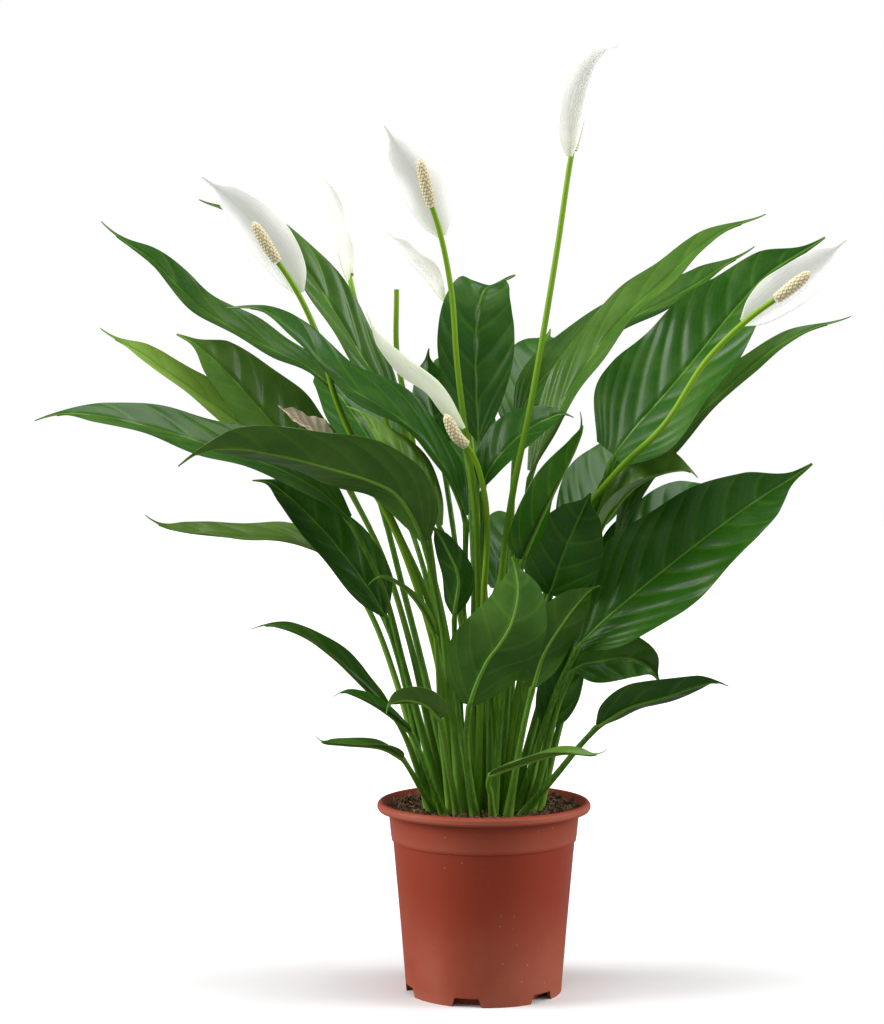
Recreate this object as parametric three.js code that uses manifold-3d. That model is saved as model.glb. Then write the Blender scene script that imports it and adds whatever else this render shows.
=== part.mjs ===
// Potted peace lily: a round nursery pot, its soil, the leaves with their stalks and the flowers.
// Millimetres, +Z up. The origin is the centre of the pot's underside, and -Y is the front.
import * as THREE from 'three';
import { mergeVertices } from 'three/addons/utils/BufferGeometryUtils.js';
import Module from 'manifold-3d';

const wasm = await Module();
wasm.setup();

// Driving dimensions
const POT_HEIGHT = 152;
const RIM_RADIUS = 85;
const MOUTH_RADIUS = 80;
const COLLAR_RADIUS = 76;
const STEP_RADIUS = 72;
const FOOT_RADIUS = 62;
const WALL = 1.8;
const LIP_HEIGHT = 8;
const COLLAR_HEIGHT = 20;
const GROOVE_HEIGHT = 10;
const GROOVE_WIDTH = 7;
const FLOOR = 3;
const NOTCH_COUNT = 6;
const NOTCH_HEIGHT = 7;
const NOTCH_FOOT_WIDTH = 25;
const NOTCH_TOP_WIDTH = 19;
const NOTCH_DEPTH = 9;
const FRONT_NOTCH = -103.5;
const SOIL_TOP = 144;
const SOIL_RISE = 2.4;
const GAP = 0.3;
const LATHE_SIDES = 40;
const STEM_SIDES = 6;
const SLOT_PITCH = 11;
const STALK_RINGS = 4;
const FLOWER_STALK_RINGS = 8;
const BLADE_RINGS = 9;
const SPATHE_BELLY = 0.75;

const plant = new THREE.Group();
plant.name = 'potted_peace_lily';

function material(color, roughness) {
  return new THREE.MeshStandardMaterial({ color, roughness, metalness: 0 });
}

function add(name, geometry, look, parent) {
  const mesh = new THREE.Mesh(geometry, look);
  mesh.name = name;
  parent.add(mesh);
  return mesh;
}

function radians(degrees) {
  return THREE.MathUtils.degToRad(degrees);
}

// A closed skin over a row of rings that all have the same number of points. Both halves of a ring
// are split along matching diagonals, so that a thin twisted blade doesn't cut through itself.
function loft(rings) {
  const sides = rings[0].length;
  const positions = rings.flat().flatMap((point) => point.toArray());
  const index = [];
  for (let ring = 0; ring < rings.length - 1; ring += 1) {
    for (let side = 0; side < sides; side += 1) {
      const a = ring * sides + side;
      const b = ring * sides + (side + 1) % sides;
      if (side < sides / 2) {
        index.push(a, b, b + sides, a, b + sides, a + sides);
      } else {
        index.push(a, b, a + sides, b, b + sides, a + sides);
      }
    }
  }
  const last = (rings.length - 1) * sides;
  for (let side = 1; side < sides - 1; side += 1) {
    index.push(0, side + 1, side);
    index.push(last, last + side, last + side + 1);
  }
  const geometry = new THREE.BufferGeometry();
  geometry.setAttribute('position', new THREE.Float32BufferAttribute(positions, 3));
  geometry.setIndex(index);
  geometry.computeVertexNormals();
  return geometry;
}

// Centre, width direction and upper-face direction at a place along a curve. Every curve that rises
// from the soil starts upright there.
function frameAt(curve, u, heading, roll) {
  const tangent = u === 0 ? new THREE.Vector3(0, 0, 1) : curve.getTangentAt(u);
  const side = new THREE.Vector3(-heading.y, heading.x, 0);
  side.addScaledVector(tangent, -side.dot(tangent)).normalize();
  side.applyAxisAngle(tangent, radians(roll));
  const normal = new THREE.Vector3().crossVectors(tangent, side).normalize();
  return { centre: curve.getPointAt(u), side, normal };
}

function place(frame, across, out) {
  return frame.centre.clone().addScaledVector(frame.side, across).addScaledVector(frame.normal, out);
}

// Six points: both margins and a midrib that is `rib` wide and `thick` deep.
function sectionRing(frame, half, rib, thick, rise) {
  return [
    place(frame, -half, rise),
    place(frame, -rib, -thick),
    place(frame, rib, -thick),
    place(frame, half, rise),
    place(frame, rib, thick),
    place(frame, -rib, thick),
  ];
}

function roundRing(frame, radius) {
  return sectionRing(frame, radius, radius / 2, radius * Math.sin(Math.PI / 3), 0);
}

function slot(ring, azimuth) {
  const radius = ring * SLOT_PITCH;
  return [radius * Math.cos(radians(azimuth)), radius * Math.sin(radians(azimuth)), SOIL_TOP + GAP];
}

function curveThrough(points) {
  const places = points.map((point) => new THREE.Vector3(...point));
  return new THREE.CatmullRomCurve3(places, false, 'centripetal');
}

// How far along the curve, from 0 to 1, its point number `index` lies.
function fractionAt(curve, index) {
  const steps = 40 * (curve.points.length - 1);
  const lengths = curve.getLengths(steps);
  return lengths[40 * index] / lengths[steps];
}

function headingOf(curve, from) {
  const start = curve.points[from];
  const end = curve.points[curve.points.length - 1];
  return new THREE.Vector3(end.x - start.x, end.y - start.y, 0).normalize();
}

function mix(from, to, t) {
  return from + (to - from) * t;
}

// Half the width at a place along a blade. A smaller `belly` puts the widest place nearer the base.
function bladeHalfWidth(width, s, belly) {
  return (width / 2) * Math.sin(Math.PI * s ** belly) ** 0.85;
}

// A leaf grown in one piece: a round stalk from the soil that widens into a folded, pointed blade.
// `blade` is the number of the route's point where the blade begins.
function leaf(shape) {
  const { base, route, blade, width, roll = 0, turn = 0, fold = 14, stem = 2.6, belly = 0.72 } = shape;
  const curve = curveThrough([base, ...route]);
  const start = fractionAt(curve, blade);
  const heading = shape.heading
    ? new THREE.Vector3(Math.cos(radians(shape.heading)), Math.sin(radians(shape.heading)), 0)
    : headingOf(curve, 0);
  const rings = [];
  for (let i = 0; i < STALK_RINGS; i += 1) {
    const t = i / STALK_RINGS;
    rings.push(roundRing(frameAt(curve, t * start, heading, roll * t), mix(stem, stem * 0.6, t)));
  }
  for (let i = 0; i <= BLADE_RINGS; i += 1) {
    const s = mix(0.01, 0.985, i / BLADE_RINGS);
    const frame = frameAt(curve, mix(start, 1, s), heading, roll + turn * s);
    const half = Math.max(bladeHalfWidth(width, s, belly), mix(stem * 0.7, 0.5, s));
    const thick = mix(stem * 0.5, 0.35, s);
    rings.push(sectionRing(frame, half, mix(stem * 0.4, 0.25, s), thick, half * Math.tan(radians(fold))));
  }
  return loft(rings);
}

// A flower stalk that ends in the blunt spadix, or in a plain tip when `spadix` is 0.
function flowerStalk({ base, route, spadix, stem = 2.6 }) {
  const curve = curveThrough([base, ...route]);
  const heading = new THREE.Vector3(1, 0, 0);
  const start = 1 - spadix / curve.getLength();
  const rings = [];
  for (let i = 0; i <= FLOWER_STALK_RINGS; i += 1) {
    const t = i / FLOWER_STALK_RINGS;
    rings.push(roundRing(frameAt(curve, t * start, heading, 0), mix(stem, stem * 0.7, t)));
  }
  if (spadix > 0) {
    for (const [s, radius] of SPADIX_PROFILE) {
      rings.push(roundRing(frameAt(curve, mix(start, 1, s), heading, 0), radius));
    }
  }
  return loft(rings);
}

// Along the spadix from 0 to 1, and its radius there.
const SPADIX_PROFILE = [[0.12, 1.9], [0.16, 4.6], [0.45, 5.4], [0.8, 4.8], [0.94, 3.2], [1, 1.0]];

// The white hood of a flower: a cupped blade with no stalk of its own.
function spathe({ route, width, roll = 0, turn = 0, cup = 22, heading }) {
  const curve = curveThrough(route);
  const facing = new THREE.Vector3(Math.cos(radians(heading)), Math.sin(radians(heading)), 0);
  const rings = [];
  for (let i = 0; i <= BLADE_RINGS; i += 1) {
    const s = mix(0.015, 0.985, i / BLADE_RINGS);
    const frame = frameAt(curve, s, facing, roll + turn * s);
    const half = Math.max(bladeHalfWidth(width, s, SPATHE_BELLY), 0.6);
    rings.push(sectionRing(frame, half, 0.5, 0.5, half * Math.tan(radians(cup))));
  }
  return loft(rings);
}

function toSolid(geometry) {
  const bare = geometry.clone();
  bare.deleteAttribute('normal');
  bare.deleteAttribute('uv');
  const merged = mergeVertices(bare, 1e-4);
  return new wasm.Manifold(new wasm.Mesh({
    numProp: 3,
    vertProperties: merged.attributes.position.array,
    triVerts: new Uint32Array(merged.index.array),
  }));
}

function fromSolid(solid) {
  const mesh = solid.getMesh();
  const geometry = new THREE.BufferGeometry();
  geometry.setAttribute('position', new THREE.BufferAttribute(mesh.vertProperties, 3));
  geometry.setIndex(new THREE.BufferAttribute(mesh.triVerts, 1));
  geometry.computeVertexNormals();
  return geometry;
}

function lathe(profile) {
  const geometry = new THREE.LatheGeometry(profile.map(([r, z]) => new THREE.Vector2(r, z)), LATHE_SIDES);
  return geometry.rotateX(Math.PI / 2);
}

// Pot
const LIP_Z = POT_HEIGHT - LIP_HEIGHT;
const STEP_Z = LIP_Z - COLLAR_HEIGHT;
const GROOVE_OUTER = FOOT_RADIUS - WALL - 1.2;
const GROOVE_INNER = GROOVE_OUTER - GROOVE_WIDTH;
const OPENING = COLLAR_RADIUS - WALL;

function potGeometry() {
  const body = toSolid(lathe([
    [0, 0],
    [GROOVE_INNER, 0],
    [GROOVE_INNER, GROOVE_HEIGHT],
    [GROOVE_OUTER, GROOVE_HEIGHT],
    [GROOVE_OUTER, 0],
    [FOOT_RADIUS, 0],
    [STEP_RADIUS, STEP_Z - 2],
    [COLLAR_RADIUS, STEP_Z],
    [COLLAR_RADIUS, LIP_Z],
    [RIM_RADIUS - 1.5, LIP_Z],
    [RIM_RADIUS, LIP_Z + 2],
    [RIM_RADIUS, POT_HEIGHT - 2],
    [RIM_RADIUS - 2, POT_HEIGHT],
    [MOUTH_RADIUS + 1, POT_HEIGHT],
    [MOUTH_RADIUS, POT_HEIGHT - 1],
    [MOUTH_RADIUS - 1.6, LIP_Z + 3.5],
    [OPENING, LIP_Z + 0.5],
    [OPENING, STEP_Z + 2],
    [STEP_RADIUS - WALL, STEP_Z - 2],
    [FOOT_RADIUS - WALL, GROOVE_HEIGHT + FLOOR],
    [GROOVE_INNER - FLOOR, GROOVE_HEIGHT + FLOOR],
    [GROOVE_INNER - FLOOR, FLOOR],
    [0, FLOOR],
  ]));
  const outline = new THREE.Shape([
    new THREE.Vector2(-NOTCH_FOOT_WIDTH / 2, -1),
    new THREE.Vector2(NOTCH_FOOT_WIDTH / 2, -1),
    new THREE.Vector2(NOTCH_TOP_WIDTH / 2, NOTCH_HEIGHT),
    new THREE.Vector2(-NOTCH_TOP_WIDTH / 2, NOTCH_HEIGHT),
  ]);
  let pot = body;
  for (let i = 0; i < NOTCH_COUNT; i += 1) {
    const notch = new THREE.ExtrudeGeometry(outline, { depth: NOTCH_DEPTH, bevelEnabled: false });
    notch.rotateX(Math.PI / 2);
    notch.translate(0, -(FOOT_RADIUS - NOTCH_DEPTH + 3), 0);
    notch.rotateZ(radians(FRONT_NOTCH + 90 + (360 / NOTCH_COUNT) * i));
    pot = pot.subtract(toSolid(notch));
  }
  return fromSolid(pot);
}

function soilGeometry() {
  const foot = FOOT_RADIUS - WALL - 2 * GAP;
  const step = STEP_RADIUS - WALL - 2 * GAP;
  return lathe([
    [0, FLOOR + GAP],
    [GROOVE_INNER - FLOOR - GAP, FLOOR + GAP],
    [GROOVE_INNER - FLOOR - GAP, GROOVE_HEIGHT + FLOOR + GAP],
    [foot, GROOVE_HEIGHT + FLOOR + GAP],
    [step, STEP_Z - 2],
    [OPENING - 2 * GAP, STEP_Z + 2.5],
    [OPENING - 2 * GAP, LIP_Z + 0.7],
    [MOUTH_RADIUS - 2.6, LIP_Z + 3.3],
    [SLOT_PITCH * 5.6, SOIL_TOP + SOIL_RISE],
    [SLOT_PITCH * 4.6, SOIL_TOP],
    [0, SOIL_TOP],
  ]);
}

add('pot', potGeometry(), material(0x8a5443, 0.55), plant);
add('soil', soilGeometry(), material(0x2a1d14, 0.95), plant);

// Leaves, listed by the side of the plant that they lean to. A route is the middle line of the leaf
// above the soil, and the blade begins at the route's point number `blade`.
const LEFT_LEAVES = {
  leaf_upper_left: {
    base: slot(3, 140), blade: 2, width: 46, roll: -25,
    route: [[-60, 36, 300], [-124, 60, 482], [-178, 58, 516], [-229, 54, 546], [-270, 48, 586],
            [-313, 40, 612]],
  },
  leaf_long_arch: {
    base: slot(2, 170), blade: 2, width: 46, roll: -40,
    route: [[-44, 16, 360], [-67, 28, 460], [-93, 26, 499], [-117, 20, 539], [-150, 12, 586],
            [-188, 5, 616], [-229, 0, 625]],
  },
  leaf_big_left: {
    base: slot(2, -135), blade: 2, width: 62, roll: -35,
    route: [[-20, -22, 280], [-14, -34, 378], [-50, -40, 443], [-112, -52, 487], [-164, -70, 537],
            [-198, -80, 548]],
  },
  leaf_wide_left: {
    base: slot(3, 158), blade: 2, width: 74, roll: -50,
    route: [[-66, 16, 300], [-112, 26, 408], [-157, 20, 441], [-203, 8, 492], [-241, -4, 528]],
  },
  leaf_pale_left: {
    base: slot(3, 176), blade: 2, width: 44, roll: -25,
    route: [[-76, 14, 290], [-147, 44, 414], [-194, 44, 450], [-240, 38, 484], [-284, 34, 514],
            [-312, 30, 525]],
  },
  leaf_far_left: {
    base: slot(3, -164), blade: 4, width: 58, roll: -30,
    route: [[-58, -16, 240], [-72, -22, 295], [-86, -24, 341], [-104, -30, 376], [-140, -38, 408],
            [-221, -40, 439], [-299, -36, 459], [-356, -30, 462]],
  },
  leaf_front_left: {
    base: slot(3, -124), blade: 3, width: 60, roll: 35, fold: 18,
    route: [[-28, -44, 250], [-36, -58, 314], [-46, -84, 362], [-68, -106, 402], [-106, -120, 418],
            [-160, -128, 432], [-197, -132, 436], [-233, -132, 428]],
  },
  leaf_dark_left: {
    base: slot(4, -178), blade: 3, width: 56, roll: -45,
    route: [[-56, -8, 214], [-64, -12, 251], [-78, -14, 300], [-120, -14, 361], [-160, -10, 400],
            [-184, -6, 414]],
  },
  leaf_side_left: {
    base: slot(4, 160), blade: 2, width: 44, roll: -15,
    route: [[-78, 38, 264], [-112, 40, 336], [-150, 36, 357], [-200, 30, 362], [-240, 26, 366],
            [-275, 22, 374]],
  },
  leaf_low_left: {
    base: slot(4, -164), blade: 2, width: 38, roll: -20,
    route: [[-56, -26, 190], [-70, -36, 224], [-94, -46, 251], [-116, -54, 273], [-141, -60, 291],
            [-180, -62, 303]],
  },
  leaf_small_left: {
    base: slot(4, -136), blade: 2, width: 24, roll: -20,
    route: [[-46, -54, 186], [-57, -66, 216], [-73, -76, 232], [-92, -82, 244], [-115, -84, 253]],
  },
  leaf_lowest_left: {
    base: slot(4, -150), blade: 2, width: 24, roll: -10,
    route: [[-54, -48, 176], [-64, -66, 196], [-78, -82, 207], [-106, -94, 211], [-131, -100, 213]],
  },
  leaf_pale_ribbed: {
    base: slot(1, -120), blade: 2, width: 46, roll: -58,
    route: [[-16, -30, 280], [-34, -56, 372], [-46, -70, 400], [-64, -80, 424], [-84, -86, 448],
            [-101, -88, 472]],
  },
  leaf_slender_left: {
    base: slot(3, -144), blade: 2, width: 14, roll: -20, stem: 2,
    route: [[-36, -42, 232], [-38, -60, 290], [-55, -72, 322], [-74, -78, 336], [-90, -82, 338]],
  },
};

const FRONT_LEAVES = {
  leaf_front_middle: {
    base: slot(4, -100), blade: 2, width: 62, fold: 10, heading: -90,
    route: [[-14, -70, 199], [-13, -100, 240], [0, -116, 276], [16, -124, 300], [23, -120, 326],
            [19, -104, 357]],
  },
  leaf_front_small: {
    base: slot(4, -118), blade: 2, width: 30, roll: 40, heading: 180,
    route: [[-30, -70, 198], [-35, -92, 230], [-46, -104, 243], [-62, -110, 247], [-79, -112, 242]],
  },
  leaf_front_low: {
    base: slot(4, -82), blade: 2, width: 22, roll: 10, heading: 0,
    route: [[4, -66, 168], [3, -92, 187], [29, -110, 200], [57, -118, 208], [90, -122, 205]],
  },
  leaf_narrow_front: {
    base: slot(3, -104), blade: 2, width: 24, roll: 0, heading: -90, stem: 2,
    route: [[-22, -54, 240], [-24, -72, 306], [-21, -78, 336], [-31, -82, 360], [-42, -88, 380]],
  },
  leaf_front_right: {
    base: slot(4, -66), blade: 2, width: 44, roll: 0, heading: -75,
    route: [[28, -58, 210], [36, -70, 250], [43, -78, 276], [54, -84, 296], [69, -88, 317],
            [85, -90, 335]],
  },
  leaf_twisted: {
    base: slot(3, -78), blade: 2, width: 54, roll: 24, turn: 62, heading: -80,
    route: [[14, -52, 250], [27, -94, 350], [38, -106, 380], [51, -110, 407], [64, -106, 432],
            [76, -98, 461]],
  },
};

const RIGHT_LEAVES = {
  leaf_big_right: {
    base: slot(3, -38), blade: 2, width: 88, roll: 62,
    route: [[48, -36, 220], [71, -62, 281], [104, -74, 315], [145, -82, 350], [182, -84, 379],
            [219, -82, 404], [251, -78, 421]],
  },
  leaf_low_right: {
    base: slot(4, -50), blade: 2, width: 38, roll: -35,
    route: [[60, -50, 186], [86, -66, 220], [109, -74, 237], [132, -78, 244], [162, -80, 254],
            [185, -80, 260]],
  },
  leaf_small_right: {
    base: slot(4, -34), blade: 2, width: 44, roll: 62,
    route: [[52, -34, 210], [68, -44, 261], [90, -48, 269], [112, -50, 271], [128, -52, 264],
            [134, -52, 252]],
  },
  leaf_dark_low: {
    base: slot(4, -18), blade: 2, width: 34, heading: 80,
    route: [[48, -18, 180], [50, -24, 212], [58, -28, 241], [66, -28, 268], [76, -26, 300]],
  },
  leaf_slender_right: {
    base: slot(4, -2), blade: 3, width: 38, roll: 30,
    route: [[62, -6, 220], [85, -10, 299], [103, -10, 356], [120, -10, 396], [159, -12, 450],
            [192, -14, 482], [229, -16, 513], [257, -16, 527], [291, -16, 532]],
  },
  leaf_folded_right: {
    base: slot(3, -18), blade: 2, width: 54, roll: 30, fold: 28,
    route: [[60, -14, 270], [90, -36, 372], [102, -46, 392], [120, -56, 409], [142, -60, 417],
            [166, -60, 418]],
  },
  leaf_dark_right: {
    base: slot(3, -58), blade: 2, width: 60, heading: 85,
    route: [[32, -48, 250], [49, -66, 321], [61, -72, 358], [71, -76, 381], [80, -80, 402]],
  },
  leaf_broad_right: {
    base: slot(2, -15), blade: 2, width: 98, roll: 56, belly: 0.5,
    route: [[62, -26, 300], [98, -48, 426], [126, -56, 462], [156, -62, 498], [187, -64, 537],
            [221, -62, 572], [263, -58, 593]],
  },
  leaf_behind_right: {
    base: slot(3, 2), blade: 2, width: 38, roll: 30,
    route: [[70, 10, 330], [123, 22, 450], [155, 24, 478], [187, 24, 506], [212, 22, 531]],
  },
  leaf_tall_right: {
    base: slot(1, 0), blade: 2, width: 54, roll: 30,
    route: [[24, -6, 300], [36, -6, 412], [52, -4, 450], [76, 0, 493], [105, 2, 532], [140, 2, 564],
            [170, 0, 592], [202, -4, 610], [226, -8, 612]],
  },
  leaf_tall_back_right: {
    base: slot(2, 20), blade: 2, width: 54, roll: 25,
    route: [[24, 20, 330], [26, 34, 452], [61, 42, 502], [93, 44, 523], [128, 44, 542], [164, 42, 560],
      [193, 40, 579], [223, 38, 591]],
  },
};

const MIDDLE_LEAVES = {
  leaf_centre: {
    base: slot(1, 120), blade: 2, width: 62, heading: 90, belly: 0.95,
    route: [[-8, 16, 300], [-4, 26, 436], [-6, 34, 478], [-6, 42, 518], [-3, 52, 550], [6, 66, 566],
            [18, 80, 564], [27, 86, 571]],
  },
  leaf_centre_back: {
    base: slot(2, 95), blade: 2, width: 38, heading: 110,
    route: [[-16, 40, 300], [-34, 60, 430], [-42, 72, 466], [-46, 82, 513]],
  },
  leaf_centre_dark: {
    base: slot(2, -75), blade: 2, width: 48, roll: 40,
    route: [[2, -26, 300], [-2, -30, 403], [13, -32, 430], [34, -32, 449], [52, -30, 458],
            [70, -28, 464]],
  },
};

const BACK_LEAVES = {
  leaf_back_upright: {
    base: slot(3, 85), blade: 2, width: 60,
    route: [[-6, 70, 300], [-10, 110, 390], [-18, 150, 450], [-24, 190, 496], [-28, 230, 520]],
  },
  leaf_back_right: {
    base: slot(3, 50), blade: 2, width: 66, roll: 10,
    route: [[46, 62, 280], [76, 102, 350], [104, 142, 398], [132, 182, 432], [156, 220, 450]],
  },
  leaf_back_left: {
    base: slot(3, 118), blade: 2, width: 66, roll: -10,
    route: [[-38, 60, 290], [-66, 96, 384], [-96, 132, 440], [-126, 170, 480], [-152, 202, 500]],
  },
  leaf_back_low: {
    base: slot(4, 90), blade: 2, width: 54,
    route: [[4, 86, 240], [12, 130, 310], [24, 172, 350], [34, 214, 368], [40, 250, 360]],
  },
  leaf_back_low_left: {
    base: slot(4, 140), blade: 2, width: 52,
    route: [[-58, 58, 230], [-86, 86, 300], [-114, 112, 348], [-140, 134, 380], [-166, 152, 398]],
  },
  leaf_back_low_right: {
    base: slot(4, 32), blade: 2, width: 60, roll: 10,
    route: [[66, 50, 240], [104, 80, 318], [138, 104, 362], [172, 126, 392], [204, 144, 402]],
  },
  leaf_back_tall: {
    base: slot(2, 65), blade: 2, width: 52,
    route: [[20, 60, 340], [30, 96, 440], [40, 126, 486], [50, 160, 516], [62, 200, 528]],
  },
};

for (const [side, leaves] of Object.entries({
  left: LEFT_LEAVES, front: FRONT_LEAVES, right: RIGHT_LEAVES, middle: MIDDLE_LEAVES, back: BACK_LEAVES,
})) {
  const group = new THREE.Group();
  group.name = `${side}_leaves`;
  plant.add(group);
  for (const [name, shape] of Object.entries(leaves)) {
    add(name, leaf(shape), material(0x2f5a2a, 0.4), group);
  }
}

// Flowers: the stalk with its spadix, and the spathe that stands behind it.
const FLOWERS = {
  tallest: {
    stalk: {
      base: slot(1, -60), spadix: 44,
      route: [[12, -36, 300], [15, -52, 366], [28, -60, 432], [41, -62, 504], [52, -60, 569],
              [61, -58, 628], [66, -54, 660], [74, -50, 698]],
    },
    hood: {
      width: 28, heading: 70, cup: 40,
      route: [[64, -62, 655], [67, -67, 680], [73, -68, 706], [84, -62, 728], [104, -50, 744]],
    },
  },
  upright: {
    stalk: {
      base: slot(0, 0), spadix: 44,
      route: [[-4, -8, 300], [-8, -12, 397], [-16, -12, 451], [-22, -12, 504], [-26, -14, 551],
              [-30, -16, 596], [-40, -24, 617], [-51, -32, 657]],
    },
    hood: {
      width: 40, heading: 100, roll: -10,
      route: [[-33, -8, 598], [-42, -8, 622], [-54, -8, 648], [-69, -12, 670], [-79, -18, 686]],
    },
  },
  left: {
    stalk: {
      base: slot(1, 180), spadix: 42,
      route: [[-40, -8, 300], [-84, -26, 400], [-115, -34, 469], [-127, -36, 506], [-136, -37, 542],
              [-145, -41, 560], [-157, -50, 573], [-178, -58, 607]],
    },
    hood: {
      width: 40, heading: 120, roll: -24,
      route: [[-143, -31, 552], [-154, -31, 574], [-174, -33, 602], [-198, -36, 626], [-220, -40, 644]],
    },
  },
  left_side: {
    stalk: {
      base: slot(2, 120), spadix: 40,
      route: [[-34, 42, 300], [-80, 52, 460], [-96, 54, 518], [-103, 54, 545], [-107, 56, 564],
              [-112, 66, 584], [-117, 73, 602]],
    },
    hood: {
      width: 34, heading: 180, roll: -12,
      route: [[-110, 48, 566], [-118, 46, 598], [-124, 46, 628], [-134, 50, 662]],
    },
  },
  back: {
    stalk: {
      base: slot(1, 60), spadix: 44,
      route: [[0, 50, 300], [-10, 84, 440], [-24, 90, 520], [-30, 92, 552], [-42, 102, 574],
              [-54, 108, 592]],
    },
    hood: {
      width: 28, heading: 170, roll: -25,
      route: [[-32, 86, 552], [-46, 86, 572], [-62, 86, 590], [-79, 84, 610]],
    },
  },
  right: {
    stalk: {
      base: slot(2, -45), spadix: 38,
      route: [[30, -24, 260], [56, -36, 340], [86, -48, 400], [112, -90, 428], [138, -110, 459],
              [160, -112, 492], [173, -112, 515], [188, -112, 530], [210, -122, 543], [238, -128, 565]],
    },
    hood: {
      width: 40, heading: 10, roll: 62,
      route: [[190, -106, 527], [213, -105, 542], [240, -106, 563], [269, -106, 591]],
    },
  },
  greenish: {
    stalk: {
      base: slot(2, -105), spadix: 36,
      route: [[-2, -50, 300], [1, -66, 381], [-4, -74, 412], [-13, -80, 434], [-22, -87, 443],
              [-31, -92, 460]],
    },
    hood: {
      width: 32, heading: 0, roll: -25,
      route: [[-15, -68, 448], [-34, -70, 480], [-61, -72, 502], [-82, -72, 521], [-92, -70, 539]],
    },
  },
  withered: {
    stalk: {
      base: slot(2, -165), spadix: 26,
      route: [[-40, -30, 280], [-78, -44, 386], [-102, -46, 420], [-114, -48, 432], [-124, -49, 442],
        [-134, -50, 450]],
    },
    hood: {
      width: 20, heading: 180, roll: -40,
      route: [[-112, -60, 433], [-127, -63, 445], [-143, -63, 456], [-160, -61, 467]],
    },
  },
};

for (const [name, { stalk, hood }] of Object.entries(FLOWERS)) {
  const group = new THREE.Group();
  group.name = `flower_${name}`;
  plant.add(group);
  add(`flower_stalk_${name}`, flowerStalk(stalk), material(0x9fb36a, 0.5), group);
  add(`spathe_${name}`, spathe(hood), material(0xeef0e6, 0.5), group);
}

// One stalk whose flower is gone.
add('flower_stalk_bare', flowerStalk({
  base: slot(2, 145), spadix: 0,
  route: [[-38, 22, 300], [-56, 40, 430], [-63, 42, 472], [-69, 42, 504], [-74, 42, 532], [-70, 42, 560]],
}), material(0x9fb36a, 0.5), plant);

export default plant;
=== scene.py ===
"""Potted peace lily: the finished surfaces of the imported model, laid out as an add-on.

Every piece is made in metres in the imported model's own frame, so nothing is moved afterwards.
"""

import math

import bpy
import numpy as np
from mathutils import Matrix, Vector, noise


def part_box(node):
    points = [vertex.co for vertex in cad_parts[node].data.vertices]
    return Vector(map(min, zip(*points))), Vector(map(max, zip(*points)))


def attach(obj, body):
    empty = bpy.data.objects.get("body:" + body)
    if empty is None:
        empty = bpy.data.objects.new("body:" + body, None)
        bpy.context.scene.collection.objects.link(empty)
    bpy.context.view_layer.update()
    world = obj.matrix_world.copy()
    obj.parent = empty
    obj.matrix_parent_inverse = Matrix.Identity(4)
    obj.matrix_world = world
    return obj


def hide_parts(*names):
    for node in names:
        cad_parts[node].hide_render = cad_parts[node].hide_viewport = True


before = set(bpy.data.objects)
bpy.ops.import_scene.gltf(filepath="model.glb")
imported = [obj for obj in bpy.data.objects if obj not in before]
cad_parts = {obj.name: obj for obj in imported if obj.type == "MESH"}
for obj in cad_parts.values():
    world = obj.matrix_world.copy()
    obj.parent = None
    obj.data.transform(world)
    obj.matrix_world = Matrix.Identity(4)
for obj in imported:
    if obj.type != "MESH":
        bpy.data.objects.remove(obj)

bl_info = {
    "name": "Potted peace lily",
    "version": (1, 0, 0),
    "blender": (4, 5, 0),
    "location": "3D View > Sidebar > Peace lily",
    "description": "Builds a peace lily in a nursery pot around its packed frame",
    "category": "Object",
}

BODY = "root"
RING_POINTS = 6
STEM_RINGS = 4
SPADIX_RINGS = 6
MERGE = 1e-5
SEAM = 1e-6

# Leaves, stalks and hoods shine less than glass. The waxy coat is on the upper face of leaves only.
GROWN_SPECULAR = 0.18
COAT_ROUGHNESS = 0.18
RELIEF_DEPTH = 0.0006
PLASTIC_SPECULAR = 0.25
# A hood's own faint light stands for the light that shines through its thin tissue.
HOOD_LIGHT = 0.24
HOOD_SCATTER = 0.006
# How fast the count of side veins grows across and along the middle of a blade.
VEINS_ACROSS = 0.34
VEINS_ALONG = 1.19
# Rows of knobs on a spadix lie this share of a knob's pitch apart, as in a honeycomb.
KNOB_ROWS = 0.87
# A vein attribute this far from the midrib, in millimetres, shows no midrib.
NO_MIDRIB = 9.0


# ---------------------------------------------------------------- settings

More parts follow.
